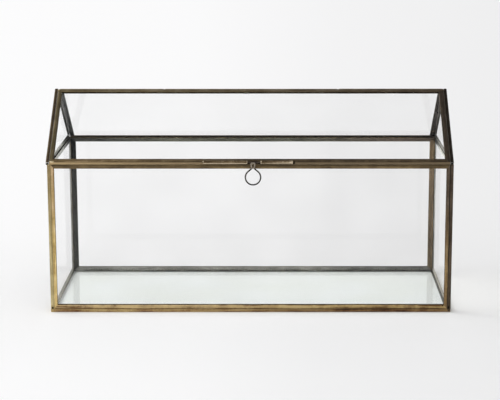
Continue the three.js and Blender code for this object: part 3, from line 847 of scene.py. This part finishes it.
def loop_outline():
    """Half of the bar and neck, its mirror image, and the ring, all in millimetres from the rod's axis."""
    radius, drop, shoulder, steps = 8.45, 16.45, math.pi / 4, 60
    neck_bend, bar_bend, bar_length = 1.1, 1.5, 1.5
    turns = [shoulder - (math.pi + 2 * shoulder) * k / steps for k in range(steps + 1)]
    ring = [Vector((math.cos(a), math.sin(a))) * radius - Vector((0, drop)) for a in turns]
    leave, neck, bar_end = ring[0], Vector((1.35, -6.5)), Vector((2.1, -0.6))
    half = bend(neck + (leave - neck).normalized() * neck_bend, neck,
                neck + (bar_end - neck).normalized() * neck_bend)
    half += bend(bar_end + (neck - bar_end).normalized() * bar_bend, bar_end,
                 bar_end - Vector((bar_length, 0)))
    return half + [Vector((-p.x, p.y)) for p in reversed(half)] + list(reversed(ring))


wire_radius, wire_spacing, loop_shift = 0.0008, 0.0003, 0.0004
outline = loop_outline()
loop_mesh = bpy.data.meshes.new("loop_path")
loop_mesh.from_pydata([(p.x / 1000, 0.0, p.y / 1000) for p in outline],
                      [(k, (k + 1) % len(outline)) for k in range(len(outline))], [])
mesh = grown("pull_ring", wire_tree(), {"Radius": wire_radius, "Spacing": wire_spacing, "Finish": wire},
             loop_mesh)
loop_middle = middle_of("pull_loop")
mesh.transform(Matrix.Translation((loop_middle.x + loop_shift, loop_middle.y, pull_axis.z)))
piece("pull_ring", mesh, "pull", "wire", "pull_loop")


# The solder: the framed panes are run together along their joints, and a bead is left at every corner of the
# case and at the lid's lower corners. It is darkened with the same patina as the channel, and painted lighter
# at the left and darker at the right, as painted light and shade.
def uneven(tree, noise, reach):
    shift = add(tree, "ShaderNodeVectorMath", {0: noise, 1: (0.5, 0.5, 0.5)}, operation="SUBTRACT")
    return add(tree, "ShaderNodeVectorMath", {0: shift, "Scale": reach}, operation="SCALE")


corner_names = [f"Corner {k}" for k in range(1, 5)]


def seam_tree():
    tree, given = new_tree("run_of_solder", ["Start", "End", "Wave"], ["Stations", "Seed"], corner_names)
    section = closed_section(tree, [given[name] for name in corner_names])
    run = swept(tree, section, point(tree, given["Start"], 0.0, 0.0), point(tree, given["End"], 0.0, 0.0),
                given["Stations"])
    noise = add(tree, "ShaderNodeTexNoise", {
        "Vector": add(tree, "GeometryNodeInputPosition"), "W": given["Seed"], "Scale": 160.0, "Detail": 2.0},
        output="Color", noise_dimensions="4D")
    shift = add(tree, "ShaderNodeVectorMath", {0: uneven(tree, noise, given["Wave"]), 1: (0.0, 1.0, 1.0)},
                operation="MULTIPLY")
    run = add(tree, "GeometryNodeSetPosition", {"Geometry": run, "Offset": shift})
    return end_tree(tree, run, given["Finish"])


run_of_solder = seam_tree()
solder_wave, solder_station = 0.00012, 4


def seam(place, run, section, finish):
    """A run of solder between two places on x, in a pane's own millimetres. Its section is four (y, z)."""
    stations = max(4, int(abs(run[1] - run[0]) / solder_station))
    inputs = {"Start": run[0] / 1000, "End": run[1] / 1000, "Wave": solder_wave, "Seed": next(seeds),
              "Stations": stations, "Finish": finish}
    inputs |= {name: (y / 1000, z / 1000, 0.0) for name, (y, z) in zip(corner_names, section)}
    mesh = grown("solder", run_of_solder, inputs)
    mesh.transform(place)
    return mesh


def joined(name, meshes):
    made = bpy.data.meshes.new(name)
    vertices, faces = [], []
    for mesh in meshes:
        first = len(vertices)
        vertices += [v.co[:] for v in mesh.vertices]
        faces += [[first + i for i in face.vertices] for face in mesh.polygons]
    made.from_pydata(vertices, [], faces)
    made.materials.append(meshes[0].materials[0])
    made.shade_smooth()
    made.set_sharp_from_angle(angle=math.radians(40))
    piece(name, made, "case", "brass")


def solder(name, left, right, span=(-0.2, 0.2), metal=0.8):
    """left and right are two tones each, and span says from where to where one turns into the other."""
    finish, tree = new_material(name)
    spot = add(tree, "ShaderNodeTexCoord", output="Object")
    noise = noise_at(tree, spot, 260.0, 4.0, 0.65)
    share = mapped(tree, part_of(tree, spot, 0), *span)
    tones = [ramp(tree, noise, zip((0.4, 0.6), pair)) for pair in (left, right)]
    feed(tree, tree.nodes["Principled BSDF"].inputs, {
        "Base Color": blend(tree, share, *tones), "Metallic": metal, "Roughness": 0.42 if metal else 0.85,
        "Specular IOR Level": 0.5 if metal else 0.0,
        "Normal": add(tree, "ShaderNodeBump", {"Strength": 0.3, "Distance": 0.0003, "Height": noise})})
    return finish


def box_section(y0, y1, z0=0.2, z1=3.45):
    return [(y0, z0), (y1, z0), (y1, z1), (y0, z1)]


def across_pane(place, x):
    """The place for a run that goes up the pane, x millimetres from its middle. Its y points to the left."""
    return place @ Matrix.Translation((x / 1000, 0, 0)) @ Matrix.Rotation(quarter, 4, "Z")


def short_of(size, gap):
    return -size / 2 + gap, size / 2 - gap


# Painted light and shade: the joints of the front and end walls are gold at the left and nearly black at the
# right.
joint_solder = solder("joint_solder", ("8c7a50", "ab9561"), ("1c1610", "2c241b"), (-0.1, 0.12))
dark_solder = solder("dark_solder", ("1f1a14", "332a20"), ("17120d", "28211a"), metal=0.0)
rise_of_wall, foot_end, post_x = wall_height - wall_base, 0.2, length / 2 - thickness - seam_gap / 2
foot_section = box_section(-seam_gap, 0)
runs = [seam(front_place, short_of(length, foot_end), foot_section, joint_solder)]
back_runs = [seam(back_place, short_of(length, foot_end), foot_section, dark_solder)]
for place in (left_place, right_place):
    runs.append(seam(place, short_of(depth, foot_end), foot_section, joint_solder))
for place, group, finish, right in ((front_place, runs, joint_solder, 1),
                                    (back_place, back_runs, dark_solder, -1)):
    for side in (-1, 1):
        to_left, to_right = seam_gap / 2, seam_gap / 2
        if side == right == 1:
            to_right += right_outset
        if side == right == -1:
            to_left += right_outset
        section = box_section(-to_right, to_left)
        group.append(seam(across_pane(place, side * post_x), (0, rise_of_wall), section, finish))
joined("solder_of_the_walls", runs)
joined("solder_of_the_back_wall", back_runs)

roof_end, dark_front_end, dark_back_end, slope_foot, slope_head = 0.3, 3.8, 4, 0.5, 1
head_section = box_section(rise_of_wall, rise_of_wall + seam_gap)
runs = [seam(place, short_of(depth, roof_end), head_section, dark_solder)
        for place in (left_place, right_place)]
for place, low, high, proud in ((left_place, 0.45, 0.75, 0.12), (right_place, 0.8, 0.9, 0.25)):
    runs.append(seam(place, (-depth / 2 + dark_front_end, depth / 2 - dark_back_end),
                     box_section(rise_of_wall - low, rise_of_wall + high, -proud, 0.5), dark_solder))
wedge = [(rise_of_wall + up, z) for up, z in ((2.8, 0.3), (0.5, 3.4), (0, 3.4), (0, 0.3))]
runs.append(seam(back_place, short_of(length, wall_base), wedge, dark_solder))
for side in (-1, 1):
    runs.append(seam(across_pane(back_slope_place, side * post_x), (slope_foot, back_slope[2].y - slope_head),
                     box_section(-seam_gap / 2, seam_gap / 2), dark_solder))
# A dark strip of painted shade stands in the gap between the lid's right length and the right gable; the lid
# is not soldered there.
lid_gap_shade_x, lid_gap_shade_foot = 222.1, 1.5
runs.append(seam(across_pane(lid_place, lid_gap_shade_x), (lid_gap_shade_foot, lid_slope[2].y - slope_head),
                 box_section(-0.5, 0.55, 3.1, 3.68), dark_solder))
joined("solder_and_painted_shade_of_the_roof", runs)


def bead_tree():
    tree, given = new_tree("solder_beads", ["Unevenness"])
    ball = add(tree, "GeometryNodeMeshIcoSphere", {"Radius": 1.0, "Subdivisions": 4})
    size = add(tree, "GeometryNodeInputNamedAttribute", {"Name": "size"}, data_type="FLOAT_VECTOR")
    beads = add(tree, "GeometryNodeInstanceOnPoints",
                {"Points": given["Geometry"], "Instance": ball, "Scale": size})
    beads = add(tree, "GeometryNodeRealizeInstances", {0: beads})
    noise = add(tree, "ShaderNodeTexNoise", {"Scale": 420.0, "Detail": 2.0}, output="Color")
    shift = uneven(tree, noise, given["Unevenness"])
    beads = add(tree, "GeometryNodeSetPosition", {"Geometry": beads, "Offset": shift})
    return end_tree(tree, beads, given["Finish"])


solder_beads, bead_unevenness = bead_tree(), 0.0006


def beads(name, body, places, finish):
    """Beads in world millimetres: centre and half-size."""
    spots = bpy.data.meshes.new(name)
    spots.from_pydata([[c / 1000 for c in centre] for centre, _ in places], [], [])
    sizes = spots.attributes.new("size", "FLOAT_VECTOR", "POINT")
    for mark, (_, size) in zip(sizes.data, places):
        mark.vector = [s / 1000 for s in size]
    mesh = grown(name, solder_beads, {"Unevenness": bead_unevenness, "Finish": finish}, spots)
    piece(name, mesh, body, "brass")


front_y, back_y, ridge_y = middle * 1000 - depth / 2, middle * 1000 + depth / 2, axis.y * 1000
corner_inset = 1.9
corner_beads = []
for side in (-1, 1):
    x, front_foot = side * (length / 2 - corner_inset), 3.4 if side < 0 else 4.4
    corner_beads += [((x, front_y + 0.3, 4.6), (1.9, 0.75, front_foot)),
                     ((x, back_y - 0.3, 4.2), (1.9, 0.8, 2.6)),
                     ((x, front_y + 0.8, wall_height - 0.4), (1.7, 1.1, 1.3)),
                     ((x, back_y - 0.9, wall_height), (1.8, 1.4, 1.6)),
                     ((x - side * 1.2, ridge_y, hinge_height - 0.6), (2.3, 2.6, 1.5))]
# Painted light and shade: the corner beads are gold at the left and dark at the right, and the lid's left
# bead is pale, a painted highlight, while its right bead is dark.
corner_solder = solder("corner_solder", ("8a7850", "b4a070"), ("2c241b", "4c4032"))
beads("beads_of_the_case", "case", corner_beads, corner_solder)
lid_solder = solder("lid_solder", ("cdb98e", "ecdcb8"), ("3a3126", "57493a"))
lid_corner = Vector((-0.2192, 0.0012, 0.0036))
left_bead = lid_place @ lid_corner * 1000
right_bead = (-left_bead.x, left_bead.y, left_bead.z)
beads("beads_of_the_lid", "lid", [(left_bead, (2.6, 0.8, 0.75)), (right_bead, (1.6, 0.5, 0.5))], lid_solder)
# Black beads of painted shade stand for the shade in small pits at the corners of the case, and for the shade
# in the lid's trough at the ends of the pull's tubes.
pits = [((-222.9, front_y - 0.45, 5.0), (1.15, 0.6, 1.25)), ((222.6, front_y - 0.4, 5.6), (1.1, 0.6, 1.5)),
        ((216.0, front_y + 0.1, 7.4), (0.9, 0.5, 0.9)), ((222.6, front_y + 0.4, 171.2), (2.4, 0.6, 0.35)),
        ((-225.3, front_y, 169.4), (0.8, 0.5, 0.8))]
painted_shade_black = solder("painted_shade_black", ("0b0a08", "17130e"), ("0b0a08", "17130e"), metal=0.0)
beads("pin_holes", "case", pits, painted_shade_black)
trough_shade_spots = [((0.0100, 0.0001, 0.0027), (1.2, 0.5, 0.5)), ((0.0485, 0.0009, 0.0030), (0.6, 1.6, 0.9)),
               ((-0.0526, 0.0009, 0.0031), (0.5, 1.5, 0.7))]
beads("shade_spots_in_the_trough", "lid", [(lid_place @ Vector(at) * 1000, size) for at, size in trough_shade_spots],
      painted_shade_black)
